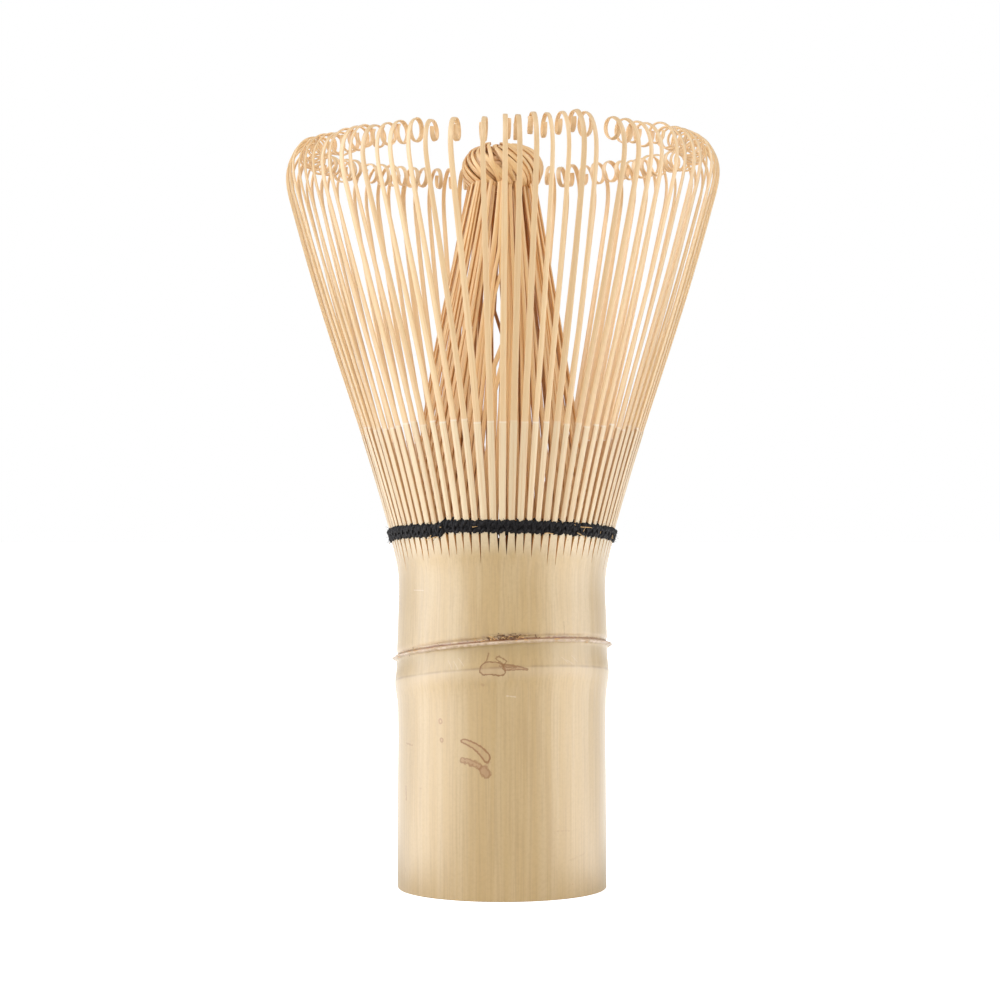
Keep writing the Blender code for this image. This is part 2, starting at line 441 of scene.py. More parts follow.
def culm_skin():
    made, tree, shader = new_material(
        "culm skin", 0.42, Coat_Weight=0.7, Coat_Roughness=0.32, Coat_IOR=1.55
    )
    place = object_place(tree)
    flat = use_group(tree, FLAT_MAP, Place=place)
    large = node(tree, "ShaderNodeVectorMath", operation="SCALE")
    large.inputs["Scale"].default_value = 1.0 / MM
    connect(tree, (place, large.inputs[0]))
    grain = use_group(tree, FIBRE, Place=large.outputs[0], Across=3.6, Along=0.07)
    cloud = noise_texture(tree, large.outputs[0], 0.11, 3.0)
    colour = tint(tree, cloud, (0.54, 0.36, 0.140), (0.61, 0.42, 0.188))
    pale_grain = between(tree, grain.outputs["Broad"], 0.35, 0.65, 0.0, 0.42)
    colour = tint(tree, pale_grain, colour, (0.66, 0.495, 0.27))
    dark_grain = between(tree, grain.outputs["Fine"], 0.45, 0.65, 0.0, 0.32)
    colour = tint(tree, dark_grain, colour, (0.44, 0.28, 0.12))
    # Paler from the foot of the splits up: partly the wood's own lighter top, partly a painted highlight
    # for the table's reflection on the flaring top.
    above_splits = ring_height(tree, flat, SPLIT_Z / MM, (SPLIT_LIFT / MM, 0.0))
    colour = tint(tree, between(tree, above_splits, -0.6, 2.2, 0.0, 0.55), colour, (0.84, 0.68, 0.45))
    mottle = noise_texture(tree, large.outputs[0], 2.4, 5.0)
    colour = tint(tree, between(tree, mottle, 0.42, 0.66, 0.0, 0.12), colour, (0.38, 0.235, 0.09))
    above_scar = ring_height(tree, flat, SCAR_Z, SCAR_LIFT)
    above_ridge = ring_height(tree, flat, RIDGE_Z, RIDGE_LIFT)
    # The node's olive band, darkened just under the scar's lip as painted shade.
    colour = tint(tree, node_band_and_lip_shade(tree, above_scar, above_ridge), colour, (0.385, 0.262, 0.095))
    colour = scar_colours(tree, flat, above_scar, above_ridge, colour)
    for mark in culm_marks():
        bean = use_group(tree, STAMP, Flat=flat.outputs["Flat"], **mark["shape"])
        mask = times(tree, bean.outputs[mark["part"]], mark["strength"])
        colour = tint(tree, mask, colour, mark["colour"])
    specks = cell_distance(tree, flat.outputs["Flat"], 0.55)
    size = between(tree, cloud, 0.42, 0.7, 0.0, 0.07)
    dots = math_node(tree, "LESS_THAN", specks, size)
    colour = tint(tree, times(tree, dots, 0.35), colour, (0.45, 0.20, 0.08))
    connect(tree, (colour, shader.inputs["Base Color"]))
    add_relief(tree, shader, grain.outputs["Fine"], 0.25, 0.0001)
    return made


def node_band_and_lip_shade(tree, above_scar, above_ridge):
    """The olive band between the two rings of the node, strongest just under the scar, where it is painted
    shade under the lip.
    """
    band = window(tree, above_scar, (-2.9, -0.5, 0.06, 0.46), (-0.35, -0.2))
    return times(tree, band, between(tree, above_ridge, -0.15, 0.15))


def scar_colours(tree, flat, above_scar, above_ridge, colour):
    """The torn pale lip; above it a brown line, darkened as painted shade in its groove, and smears;
    painted shade in the crease of the lower ring and a painted highlight below it.
    """
    ragged = noise_texture(tree, flat.outputs["Flat"], 1.7, 6.0)
    patches = noise_texture(tree, flat.outputs["Flat"], 0.5)
    torn = math_node(tree, "SUBTRACT", ragged, 0.5)
    torn_height = math_node(tree, "MULTIPLY_ADD", torn, 0.5, above_scar)
    off_tuft = math_node(tree, "ABSOLUTE", math_node(tree, "SUBTRACT", flat.outputs["Round"], 0.6))
    tuft = between(tree, off_tuft, 1.5, 4.5, 1.0, 0.0)
    front_part = between(tree, off_tuft, 6.0, 12.0, 1.0, 0.35)
    smear_patch = between(tree, patches, 0.42, 0.62)
    smear = window(tree, torn_height, (0.0, 0.1), (0.15, 1.3))
    smear = times(tree, smear, times(tree, smear_patch, front_part))
    colour = tint(tree, times(tree, smear, 0.6), colour, (0.30, 0.175, 0.095))
    soot_speckle = between(tree, ragged, 0.44, 0.56)
    soot = window(tree, torn_height, (-0.05, 0.1), (0.5, 1.25))
    soot = times(tree, times(tree, soot, tuft), soot_speckle)
    colour = tint(tree, times(tree, soot, 0.8), colour, (0.20, 0.09, 0.035))
    # Painted shade: a dark line in the groove just above the scar's lip, over the scar's own brown.
    line = window(tree, torn_height, (-0.06, 0.02), (0.14, 0.36))
    line_strength = between(tree, patches, 0.3, 0.6, 0.75, 1.0)
    colour = tint(tree, times(tree, line, line_strength), colour, (0.29, 0.12, 0.045))
    lip = window(tree, above_scar, (-0.50, -0.38), (-0.04, 0.05))
    flakes = between(tree, ragged, 0.35, 0.6, 0.35, 0.9)
    colour = tint(tree, times(tree, lip, flakes), colour, (0.78, 0.60, 0.46))
    # Painted shade: the crease along the lower ring is darkened in patches.
    crease = math_node(tree, "ABSOLUTE", math_node(tree, "SUBTRACT", above_ridge, 0.06))
    patchy = between(tree, patches, 0.35, 0.6, 0.15, 0.55)
    crease = times(tree, between(tree, crease, 0.05, 0.3, 1.0, 0.0), patchy)
    colour = tint(tree, crease, colour, (0.34, 0.20, 0.085))
    # Painted highlight: a pale band just below the lower ring.
    below = window(tree, above_ridge, (-2.2, -0.3, 0.0, 0.25), (-0.05, 0.05))
    return tint(tree, below, colour, (0.74, 0.58, 0.38))


def culm_marks():
    """The marks on the culm: where each lies on the flat map, in millimetres, and its look."""
    brown = (0.28, 0.10, 0.004)
    rust = (0.40, 0.195, 0.08)
    pale = (0.90, 0.78, 0.60)

    def mark(part, strength, colour, x, y, radius, half, turn, line, rough, arch=0.0, taper=0.0):
        shape = {
            "Centre": (x, y, 0.0),
            "Turn": math.radians(turn),
            "Half_Length": half,
            "Radius": radius,
            "Taper": taper,
            "Arch": arch,
            "Line": line,
            "Rough": rough,
        }
        return {"part": part, "strength": strength, "colour": colour, "shape": shape}

    marks = [
        mark("Ring", 0.9, brown, -3.62, 20.85, 0.40, 1.95, 33, 0.24, 0.3, 0.09, 0.075),
        mark("Fill", 0.2, rust, -3.62, 20.85, 0.40, 1.95, 33, 0.16, 0.3, 0.09, 0.075),
        mark("Fill", 0.55, rust, -4.3, 18.75, 0.36, 1.25, 18, 0.2, 0.75, 0.06),
        mark("Ring", 0.55, brown, -4.3, 18.75, 0.32, 1.25, 18, 0.26, 0.75, 0.06),
        mark("Fill", 0.60, rust, -2.35, 17.5, 0.62, 0.25, 50, 0.2, 0.6),
        mark("Ring", 0.5, brown, -2.35, 17.5, 0.56, 0.25, 50, 0.26, 0.6),
        mark("Fill", 0.35, rust, -2.1, 18.5, 0.2, 0.5, -40, 0.2, 0.9),
        mark("Ring", 0.75, rust, -8.95, 24.15, 0.22, 0.08, 80, 0.22, 0.1),
        mark("Fill", 0.40, rust, -8.75, 21.6, 0.25, 0.06, 80, 0.12, 0.15),
        mark("Ring", 0.5, brown, -8.75, 21.6, 0.22, 0.06, 80, 0.2, 0.15),
    ]
    bud = (0.25, 0.10, 0.012)
    marks += [
        mark("Ring", 0.9, bud, -1.27, 31.5, 0.86, 0.8, 3, 0.2, 0.4, 0.10),
        mark("Fill", 0.2, rust, -1.27, 31.5, 0.86, 0.8, 3, 0.1, 0.4, 0.10),
        mark("Ring", 0.85, bud, 1.95, 31.55, 0.24, 1.4, 6, 0.18, 0.35, 0.02, -0.12),
        mark("Fill", 0.4, rust, 1.95, 31.55, 0.24, 1.4, 6, 0.16, 0.35, 0.02, -0.12),
        mark("Ring", 0.6, bud, 0.7, 31.75, 0.1, 1.0, 6, 0.16, 0.5),
        mark("Ring", 0.75, bud, -0.15, 32.6, 0.3, 0.4, 30, 0.18, 0.7),
        mark("Fill", 0.7, bud, -1.95, 33.0, 0.1, 0.5, -76, 0.1, 0.3),
        mark("Fill", 0.45, bud, 8.9, 36.8, 0.05, 0.85, 88, 0.1, 0.15),
        mark("Fill", 0.40, rust, -2.6, 29.25, 0.18, 0.1, 20, 0.1, 0.3),
    ]
    marks += [
        mark("Fill", 0.75, rust, -16.5, 13.8, 0.16, 0.9, 85, 0.1, 0.7),
        mark("Fill", 0.6, rust, -15.6, 20.6, 0.1, 0.9, 5, 0.1, 0.6),
        mark("Fill", 0.4, rust, -12.6, 14.8, 0.12, 0.1, 0, 0.1, 0.3),
        mark("Fill", 0.4, rust, -16.8, 3.2, 0.12, 0.3, 60, 0.1, 0.4),
        mark("Fill", 0.3, rust, 8.6, 9.3, 0.07, 1.3, 2, 0.1, 0.5),
        mark("Fill", 0.2, rust, 11.5, 5.6, 0.1, 1.6, -14, 0.1, 0.6),
        mark("Fill", 0.35, pale, -13.4, 41.8, 0.05, 1.1, 0, 0.1, 0.1),
        mark("Fill", 0.3, pale, 1.2, 27.7, 0.09, 0.6, 3, 0.1, 0.4),
        mark("Fill", 0.3, rust, 33.0, 14.0, 0.5, 1.4, -30, 0.1, 0.7),
        mark("Ring", 0.35, rust, -33.0, 24.0, 0.5, 0.7, 20, 0.16, 0.5),
    ]
    left_scratches = ((-7.2, 31.9, 62), (-6.3, 31.8, 58), (-5.6, 32.3, 50))
    right_scratches = ((8.9, 32.5, 38), (9.7, 32.2, 30), (10.6, 32.6, 42))
    for x, y, turn in left_scratches + right_scratches:
        marks.append(mark("Fill", 0.3, pale, x, y, 0.035, 0.65, turn, 0.1, 0.08, 0.1))
    return marks


def cut_bamboo():
    """End grain, the sides of the splits and the culm's inside: dry and warm, dotted with pores."""
    made, tree, shader = new_material("cut bamboo", 0.6)
    place = object_place(tree)
    pores = cell_distance(tree, place, 2600.0)
    patches = noise_texture(tree, place, 260.0)
    colour = tint(tree, patches, (0.82, 0.46, 0.16), (0.90, 0.58, 0.26))
    colour = tint(tree, between(tree, pores, 0.12, 0.35, 0.6, 0.0), colour, (0.42, 0.22, 0.08))
    connect(tree, (colour, shader.inputs["Base Color"]))
    add_relief(tree, shader, pores, 0.3, 0.00008)
    return made


CULM_SKIN = culm_skin()
CUT_BAMBOO = cut_bamboo()
print("marks on the culm:", len(culm_marks()))

# %% [markdown]
# ## The culm
# A circle is extruded upward ring by ring, and each ring is scaled to the culm's radius at that
# height: nearly straight, swelling at the node, pinched above it and flaring where the splits
# begin. Rings lie closer together at the node, whose scar is a sharp lip. Turning a drawn
# profile would do as well, but rings are easy to move afterwards.

# %% Culm outline and rings
CULM_SIDES = 320
FOOT_EDGE = 0.12 * MM
WALL = 4.4 * MM
CUP_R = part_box("inner_tines_05")[1].x - 2.2 * MM
THREAD_Z = 49.1 * MM
THREAD_LIFT = 1.42 * MM


def culm_radius(z_mm):
    """Outside radius in millimetres at a height in millimetres, before the node is tilted."""
    flare = 0.085 * min(max(z_mm - 43.5, 0.0), 4.6) ** 1.5
    waist = -0.17 * bump(z_mm, 41.3, 3.2)
    middle = -0.09 * bump(z_mm, 21.5, 5.0)
    ridge = 0.36 * bump(z_mm, RIDGE_Z - 0.3, 1.9)
    lip = 0.58 * bump(z_mm, SCAR_Z - 0.2, 0.24)
    swelling = 0.12 * bump(z_mm, SCAR_Z, 2.4)
    groove = -0.16 * bump(z_mm, SCAR_Z + 0.35, 0.28)
    return CULM_R / MM + flare + waist + middle + ridge + lip + swelling + groove


def culm_heights():
    """Ring heights in millimetres: about one apart, a tenth apart at the scar."""
    heights = [0.0, FOOT_EDGE / MM]
    while heights[-1] < 49.15:
        z = heights[-1]
        gap = 0.95
        if 27.0 < z < 36.0:
            gap = 0.3
        if z > 44.0:
            gap = 0.4
        if SCAR_Z - 0.7 < z < SCAR_Z + 1.0:
            gap = 0.09
        heights.append(z + gap)
    return heights


def extrude_ring(radius, height, last):
    """Extrudes the selected ring to a new radius and height about the Z axis."""
    factor = radius / last[0]
    bpy.ops.mesh.extrude_region_move(TRANSFORM_OT_translate={"value": (0.0, 0.0, height - last[1])})
    bpy.ops.transform.resize(value=(factor, factor, 1.0), center_override=(0.0, 0.0, height))
    return radius, height


def model_culm():
    deselect()
    heights = culm_heights()
    radius = culm_radius(0.0) * MM - FOOT_EDGE
    bpy.ops.mesh.primitive_circle_add(vertices=CULM_SIDES, radius=radius, location=(0.0, 0.0, 0.0))
    culm = bpy.context.object
    bpy.ops.object.mode_set(mode="EDIT")
    bpy.ops.mesh.select_all(action="SELECT")
    last = (radius, 0.0)
    for z in heights[1:]:
        last = extrude_ring(culm_radius(z) * MM, z * MM, last)
    top = last[1]
    for radius, height in (
        (CUP_R + 0.6 * MM, top),
        (CUP_R, top - 0.7 * MM),
        (CUP_R, SEPTUM_Z + 3.0 * MM),
        (CUP_R - 1.2 * MM, SEPTUM_Z + 1.6 * MM),
        (1.0 * MM, SEPTUM_Z + 1.2 * MM),
    ):
        last = extrude_ring(radius, height, last)
    bpy.ops.mesh.edge_face_add()
    bpy.ops.object.mode_set(mode="OBJECT")
    return culm


culm = model_culm()
print("culm rings:", len(culm_heights()), "vertices:", len(culm.data.vertices))

# %% [markdown]
# The lower end is open as well: the same walk goes down the bore from the cut end to the wall
# that closes the culm at the node. Then the rings are settled by hand-like moves: the node and
# the splits climb to the front, the scar's lip is torn and flaky, and the whole culm is a little
# out of round, as bamboo is.

# %% Bore and settling
def select_verts(obj, wanted):
    """Selects the vertices for which wanted(place) is true, in edit mode."""
    only(obj)
    bpy.ops.object.mode_set(mode="EDIT")
    bpy.ops.mesh.select_mode(type="VERT")
    bpy.ops.mesh.select_all(action="DESELECT")
    bpy.ops.object.mode_set(mode="OBJECT")
    for vertex in obj.data.vertices:
        vertex.select = wanted(vertex.co)
    bpy.ops.object.mode_set(mode="EDIT")


def open_bore(culm):
    bore = culm_radius(0.0) * MM - WALL
    select_verts(culm, lambda co: co.z < 0.01 * MM)
    last = (culm_radius(0.0) * MM - FOOT_EDGE, 0.0)
    for radius, height in (
        (bore + 0.15 * MM, 0.0),
        (bore, 0.15 * MM),
        (bore, SEPTUM_Z - 2.8 * MM),
        (bore - 1.4 * MM, SEPTUM_Z - 1.4 * MM),
        (1.0 * MM, SEPTUM_Z - 1.2 * MM),
    ):
        last = extrude_ring(radius, height, last)
    bpy.ops.mesh.edge_face_add()
    bpy.ops.mesh.select_all(action="SELECT")
    bpy.ops.mesh.normals_make_consistent(inside=False)
    bpy.ops.object.mode_set(mode="OBJECT")


def settle_culm(culm):
    """Tilts the node and the top, tears the scar's lip and takes the culm out of round."""
    for vertex in culm.data.vertices:
        co = vertex.co
        azimuth = math.atan2(co.y, co.x)
        z = co.z / MM
        outside = math.hypot(co.x, co.y) > CUP_R + 0.9 * MM
        share = smooth_step(z, 8.0, RIDGE_Z - 1.5)
        higher = smooth_step(z, RIDGE_Z, SCAR_Z)
        upper = smooth_step(z, SCAR_Z + 1.0, 44.0)
        front = RIDGE_LIFT[0] + (SCAR_LIFT[0] - RIDGE_LIFT[0]) * higher
        front += (THREAD_LIFT / MM - SCAR_LIFT[0]) * upper
        right = (RIDGE_LIFT[1] + (SCAR_LIFT[1] - RIDGE_LIFT[1]) * higher) * (1 - upper)
        climb = share * lift(azimuth, front, right)
        if outside or z > 44.0:
            co.z += climb * MM
        if not outside or z < 0.5:
            continue
        wander = noise.noise(Vector((co.x, co.y, co.z * 0.3)) * 90.0) * 0.09
        torn = bump(z, SCAR_Z - 0.15, 0.35) * noise.noise(Vector((co.x, co.y, co.z * 1.6)) * 1500.0)
        fuzz = bump(z, SCAR_Z + 0.5, 0.5) * bump(from_front(azimuth), 0.02, 0.22)
        fuzz *= abs(noise.noise(Vector((co.x, co.y, co.z)) * 2600.0))
        factor = 1 + (wander + 0.30 * torn + 0.5 * fuzz) * MM / CULM_R
        co.x *= factor
        co.y *= factor
        co.z += 0.16 * MM * bump(z, SCAR_Z - 0.1, 0.5) * noise.noise(Vector((azimuth * 34.0, 3.1, 0.0)))


open_bore(culm)
settle_culm(culm)
print("culm height", round(max(v.co.z for v in culm.data.vertices) / MM, 1), "mm")

# %% [markdown]
# The splits are cut with a fan of thin wedges, one between each pair of tines. A wedge starts
# as a cube whose lower edge is pinched, so each split opens from nothing at its lower end to a
# third of a millimetre at the thread. A few splits run on as cracks.

# %% Splits
SPLIT_OPEN = 0.38 * MM


def wedge(azimuth, foot, depth, rng):
    """One thin wedge across the wall: it opens over its lower part, then stays open."""
    deselect()
    middle = CUP_R + 2.6 * MM
    open_width = SPLIT_OPEN * rng.uniform(0.75, 1.25)
    bpy.ops.mesh.primitive_cube_add(size=1.0, location=(middle, 0.0, foot + depth / 2))
    cutter = bpy.context.object
    cutter.scale = (8.0 * MM, open_width, depth)
    settle(cutter)
    select_verts(cutter, lambda co: co.z < foot + 0.5 * depth)
    bpy.ops.transform.resize(value=(1.0, 0.05, 1.0), center_override=(middle, 0.0, foot))
    bpy.ops.object.mode_set(mode="OBJECT")
    select_verts(cutter, lambda co: co.z > foot + 0.5 * depth)
    bpy.ops.mesh.select_mode(type="FACE")
    bpy.ops.mesh.extrude_region_move(TRANSFORM_OT_translate={"value": (0.0, 0.0, 8.0 * MM)})
    bpy.ops.object.mode_set(mode="OBJECT")
    sway = math.radians(rng.uniform(-0.35, 0.35))
    cutter.data.transform(Matrix.Rotation(azimuth + sway, 4, "Z"))
    return cutter


def cut_splits(culm):
    rng = random.Random(11)
    wedges = []
    for index in range(TINES):
        azimuth = FRONT + (index + 0.5) * TINE_ANGLE
        foot = SPLIT_Z + lift(azimuth, SPLIT_LIFT) + rng.uniform(-0.5, 0.35) * MM
        if rng.random() < 0.07:
            foot -= rng.uniform(0.7, 1.5) * MM
        thread_low = THREAD_Z + lift(azimuth, THREAD_LIFT) - 0.9 * MM
        wedges.append(wedge(azimuth, foot, max(thread_low - foot, 0.8 * MM), rng))
    fan = joined(wedges, "split_wedges")
    cut = culm.modifiers.new("splits", "BOOLEAN")
    cut.operation = "DIFFERENCE"
    cut.solver = "EXACT"
    cut.object = fan
    apply_modifiers(culm)
    bpy.data.objects.remove(fan)


cut_splits(culm)
culm.name = "culm"
culm.data.name = "culm"
print("culm after splitting:", len(culm.data.polygons), "faces")

# %% Culm finish
def dress_culm(culm):
    """Skin outside, cut bamboo on the ends, in the splits and inside."""
    rounded_shading(culm, 38)
    finish_piece(culm, CULM_SKIN)
    culm.data.materials.append(CUT_BAMBOO)
    for face in culm.data.polygons:
        middle = Vector((face.center.x, face.center.y, 0.0))
        outward = face.normal.dot(middle.normalized())
        skin = outward > 0.3 and middle.length > CUP_R + 1.8 * MM
        face.material_index = 0 if skin else 1
    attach(culm, "culm")
    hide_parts("culm_handle")


dress_culm(culm)

# %% [markdown]
# ## Bamboo strips
# Outer tines, inner tines and the strips of the knot are all the same thing: a split strip of
# bamboo, flat, with its edges just rounded. One straight blank is modelled from a cube, its long
# edges bevelled and its length subdivided. Laying a copy along a path moves each of its rows to
# a station: a place, an outward direction, a width and a thickness.

# %% The strip blank
BLANKS = {}


def strip_blank(rows):
    """A straight strip, 1 wide (Y), 1 thick (X) and 1 long (Z), with this many rows of points."""
    if rows in BLANKS:
        return BLANKS[rows]
    deselect()
    bpy.ops.mesh.primitive_cube_add(size=1.0, location=(0.0, 0.0, 0.5))
    blank = settle(bpy.context.object)

    def select_long_edges():
        bpy.ops.object.mode_set(mode="EDIT")
        bpy.ops.mesh.select_mode(type="EDGE")
        bpy.ops.mesh.select_all(action="DESELECT")
        bpy.ops.object.mode_set(mode="OBJECT")
        points = blank.data.vertices
        for edge in blank.data.edges:
            first, second = (points[index].co for index in edge.vertices)
            edge.select = abs(first.z - second.z) > 0.5
        bpy.ops.object.mode_set(mode="EDIT")

    select_long_edges()
    bpy.ops.mesh.bevel(offset=0.22, segments=1, affect="EDGES")
    bpy.ops.object.mode_set(mode="OBJECT")
    select_long_edges()
    bpy.ops.mesh.subdivide(number_cuts=rows - 2)
    bpy.ops.object.mode_set(mode="OBJECT")
    blank.name = f"blank_{rows}"
    BLANKS[rows] = blank
    return blank


def lay_strip(name, stations, tone):
    """A copy of the blank laid along stations of (place, outward, width, thickness, worked)."""
    rows = len(stations)
    blank = strip_blank(rows)
    mesh = blank.data.copy()
    strip = bpy.data.objects.new(name, mesh)
    bpy.context.scene.collection.objects.link(strip)
    local = np.array([v.co for v in mesh.vertices], float)
    row = np.clip(np.rint(local[:, 2] * (rows - 1)).astype(int), 0, rows - 1)
    places = np.array([s[0] for s in stations], float)
    outward = np.array([s[1] for s in stations], float)
    along = np.gradient(places, axis=0)
    along /= np.linalg.norm(along, axis=1)[:, None]
    outward -= along * np.sum(outward * along, axis=1)[:, None]
    outward /= np.linalg.norm(outward, axis=1)[:, None]
    across = np.cross(along, outward)
    width = np.array([s[2] for s in stations])
    thick = np.array([s[3] for s in stations])
    worked = np.array([s[4] for s in stations])
    moved = (
        places[row]
        + outward[row] * (local[:, 0] * thick[row])[:, None]
        + across[row] * (local[:, 1] * width[row])[:, None]
    )
    mesh.vertices.foreach_set("co", moved.astype(np.float32).ravel())
    length = np.concatenate([[0.0], np.cumsum(np.linalg.norm(np.diff(places, axis=0), axis=1))])
    grain = np.stack([local[:, 1] * width[row], local[:, 0] * thick[row], length[row]], axis=1) / MM
    grain[:, 0] += tone * 700.0
    add_point_data(mesh, "grain", "FLOAT_VECTOR", grain)
    shade = np.stack([np.full(len(row), tone), worked[row], np.clip(local[:, 0] + 0.5, 0, 1)], axis=1)
    add_point_data(mesh, "shade", "FLOAT_VECTOR", shade)
    mesh.update()
    return strip


def add_point_data(mesh, name, kind, values):
    attribute = mesh.attributes.new(name, kind, "POINT")
    attribute.data.foreach_set("vector", values.astype(np.float32).ravel())


print("blank of 12 rows:", len(strip_blank(12).data.vertices), "vertices")

# %% [markdown]
# ## The finish of the strips
# Each strip carries its own grain coordinates and three values: its own tone, how far it has
# been scraped, and whether a point is on its outer or inner face. Unscraped bamboo near the
# thread is pale cream; above the step it is scraped down to yellower wood. The sides and inner
# face are painted darker and warmer as shade between the tines, and the pale band at the step
# is partly a painted highlight.

# %% Strip material
def strip_bamboo(name, unscraped, scraped, inner_face_and_shade, lit_face, roughness):
    made, tree, shader = new_material(name, roughness, Coat_Weight=0.25, Coat_Roughness=0.3)
    grain_place = node(tree, "ShaderNodeAttribute", attribute_name="grain")
    shade = node(tree, "ShaderNodeAttribute", attribute_name="shade")
    parts = node(tree, "ShaderNodeSeparateXYZ")
    connect(tree, (shade.outputs["Vector"], parts.inputs[0]))
    own_tone, worked, outer_side = parts.outputs
    grain = use_group(tree, FIBRE, Place=grain_place.outputs["Vector"], Across=7.0, Along=0.12)
    colour = tint(tree, worked, unscraped, scraped)
    dull = tuple(0.80 * part for part in (1.0, 0.95, 0.88))
    toned = between(tree, own_tone, 0.0, 1.0, 0.8, 0.0)
    colour = tint(tree, toned, colour, dull, "MULTIPLY")
    colour = tint(tree, between(tree, grain.outputs["Fine"], 0.45, 0.65, 0.0, 0.3), colour, inner_face_and_shade)
    # Painted shade: a strip's sides and inner face take a darker, warmer colour than its outer face,
    # darkest below the step, standing in for the shade and warm bounce between the tines.
    inside = tint(tree, worked, tuple(0.85 * part for part in inner_face_and_shade), lit_face)
    colour = tint(tree, between(tree, outer_side, 0.70, 0.90, 0.85, 0.0), colour, inside)
    # The pale band at the step: torn fibres, and a painted highlight on the step's edge.
    off_step = math_node(tree, "ABSOLUTE", math_node(tree, "SUBTRACT", worked, 0.5))
    fringe_and_highlight = between(tree, off_step, 0.1, 0.45, 0.5, 0.0)
    fringe_and_highlight = times(tree, fringe_and_highlight, own_tone)
    colour = tint(tree, fringe_and_highlight, colour, (0.93, 0.86, 0.80))
    connect(tree, (colour, shader.inputs["Base Color"]))
    add_relief(tree, shader, grain.outputs["Fine"], 0.3, 0.00006)
    return made


OUTER_BAMBOO = strip_bamboo(
    "outer tine bamboo",
    unscraped=(0.93, 0.735, 0.47),
    scraped=(0.92, 0.655, 0.36),
    inner_face_and_shade=(0.70, 0.38, 0.15),
    lit_face=(0.92, 0.64, 0.33),
    roughness=0.42,
)
INNER_BAMBOO = strip_bamboo(
    "inner tine bamboo",
    unscraped=(0.95, 0.635, 0.29),
    scraped=(0.95, 0.635, 0.29),
    inner_face_and_shade=(0.70, 0.33, 0.10),
    lit_face=(0.72, 0.36, 0.12),
    roughness=0.48,
)
print("strip finishes:", OUTER_BAMBOO.name, INNER_BAMBOO.name)

# %% [markdown]
# ## Outer tines
# A tine leaves the thread leaning outward and stays straight nearly to its top. There it bends
# in, tighter and tighter, and curls once round into a loop. The path is walked: at each step the
# heading turns a little and the bend radius shrinks. Near the tips the tines part in places and
# crowd in others, so a few partings push their neighbours apart.

# %% Tine paths
LEAN = math.radians(16.75)
SCRAPE_Z = 63.4 * MM
TINE_FOOT_R = 15.27 * MM
STRAIGHT_ROWS = 22
CURL_ROWS = 36
LOOP_R = 1.4 * MM
PARTINGS = (
    (-6.75, 4.1, 0.3, 80.0, 5.0),
    (-11.25, 2.9, 0.0, 60.0, 10.0),
    (-20.25, 1.7, 0.0, 50.0, 10.0),
    (-2.25, 0.0, 1.9, 1.0, 4.0),
    (29.25, 4.2, 0.3, 12.0, 20.0),
    (74.25, 1.6, 1.4, 12.0, 12.0),
    (119.25, 2.2, 1.5, 14.0, 12.0),
    (168.75, 2.0, 2.2, 14.0, 16.0),
    (-128.25, 2.0, 1.7, 14.0, 14.0),
    (-92.25, 1.0, 1.3, 12.0, 12.0),
)


def crowding(turn):
    """Sideways push at the tips, in radians, of a tine this far from the front."""
    degrees = math.degrees(turn)
    push = 0.0
    for middle, left, right, left_reach, right_reach in PARTINGS:
        off = degrees - middle
        push += right * math.exp(-off / right_reach) if off > 0 else -left * math.exp(off / left_reach)
    return math.radians(push)


def bend_radius(turned, loop_r):
    """Radius of the bend after turning this far: wide at first, then the tight loop."""
    degrees = math.degrees(turned)
    return loop_r + (30 * math.exp(-degrees / 5.5) + 4.2 * math.exp(-((degrees / 75) ** 2))) * MM


def curl_path(lean, whole_turn, loop_r):
    """(outward, upward, turned) of each row of the curl, from where the tine starts to bend."""
    radius, z, turned = 0.0, 0.0, 0.0
    path = []
    for row in range(1, CURL_ROWS + 1):
        goal = whole_turn * (row / CURL_ROWS) ** 1.4
        part = (goal - turned) / 6
        for _ in range(6):
            heading = lean - turned - part / 2
            length = bend_radius(turned + part / 2, loop_r) * part
            radius += length * math.sin(heading)
            z += length * math.cos(heading)
            turned += part
        path.append((radius, z, turned))
    return path


